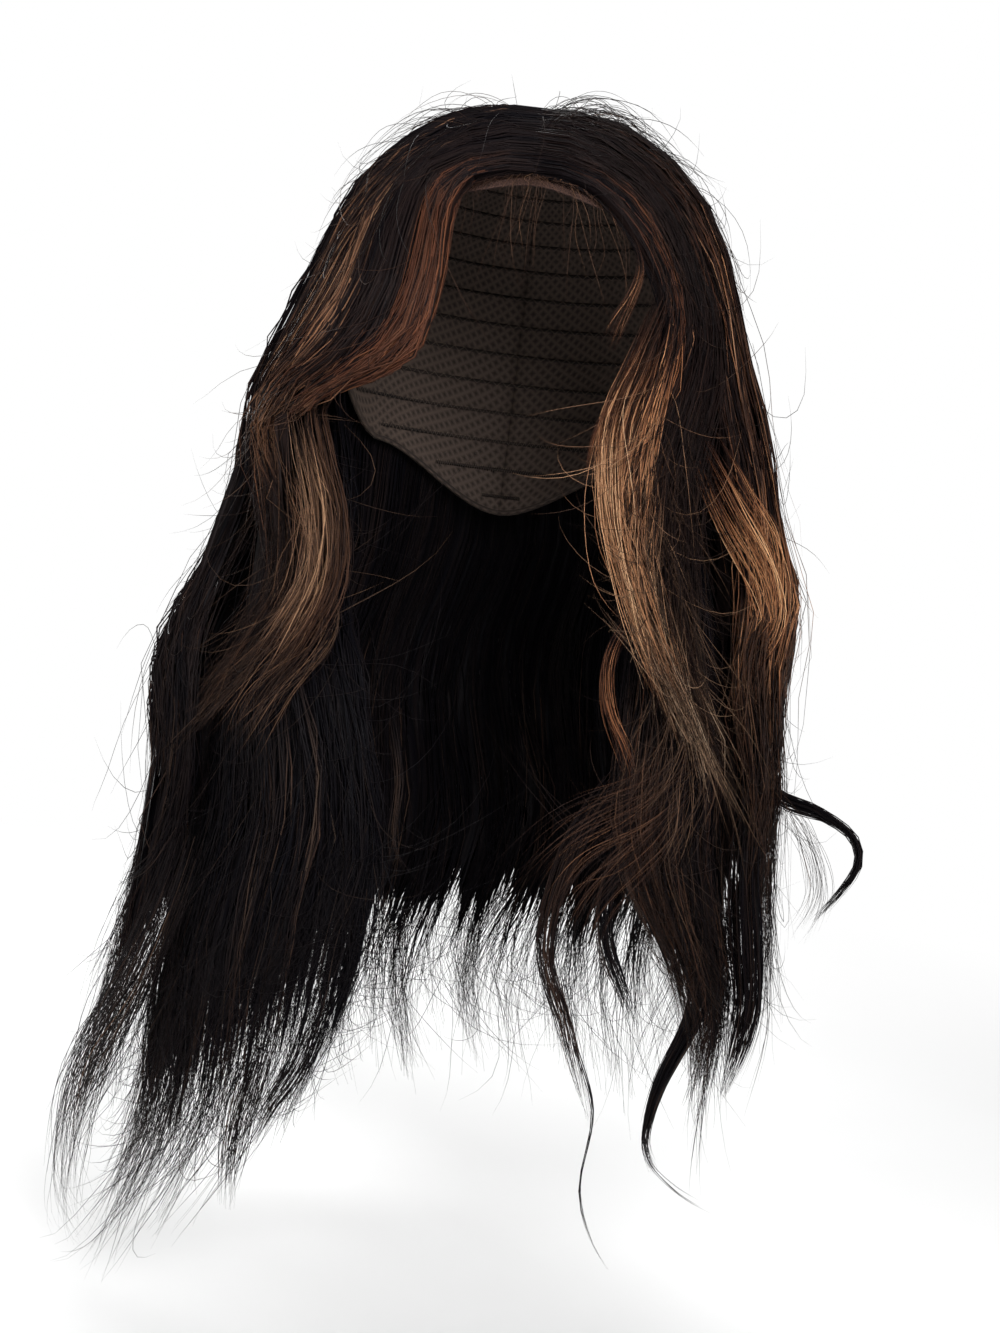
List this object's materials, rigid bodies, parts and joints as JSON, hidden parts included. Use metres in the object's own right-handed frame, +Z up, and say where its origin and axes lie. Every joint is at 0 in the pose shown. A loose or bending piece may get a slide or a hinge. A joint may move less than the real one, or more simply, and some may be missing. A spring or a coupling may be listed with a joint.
{
  "type": "long wavy human hair wig with curtain fringe",
  "caption": "Long wavy wig of dark hair with copper and honey highlights: a lace-front net cap, curtain fringes from a centre parting, and layered hair that falls to the chest.",
  "frame": {"origin": "top of the cap's hollow, where the crown of the head bears", "axes": "+Z up, the face opening towards -Y, +X to the right as seen from the front"},
  "size_m": [0.3057, 0.2208, 0.4567],
  "materials": {
    "cap_net": "matt elastic net, dark brown",
    "lace": "matt lace, dark brown",
    "auburn_hair": "satin hair, black to auburn, copper and honey",
    "dark_hair": "satin hair, black to dark brown",
    "black_hair": "satin hair, blue-black"
  },
  "bodies": {
    "root": {"cap": "cap_net", "lace_front": "lace", "fringe_left": "auburn_hair", "fringe_right": "auburn_hair", "top_hair_left": "dark_hair", "top_hair_right": "dark_hair", "side_hair_left": "black_hair", "side_hair_right": "black_hair", "nape_hair": "black_hair"}
  },
  "joints": []
}
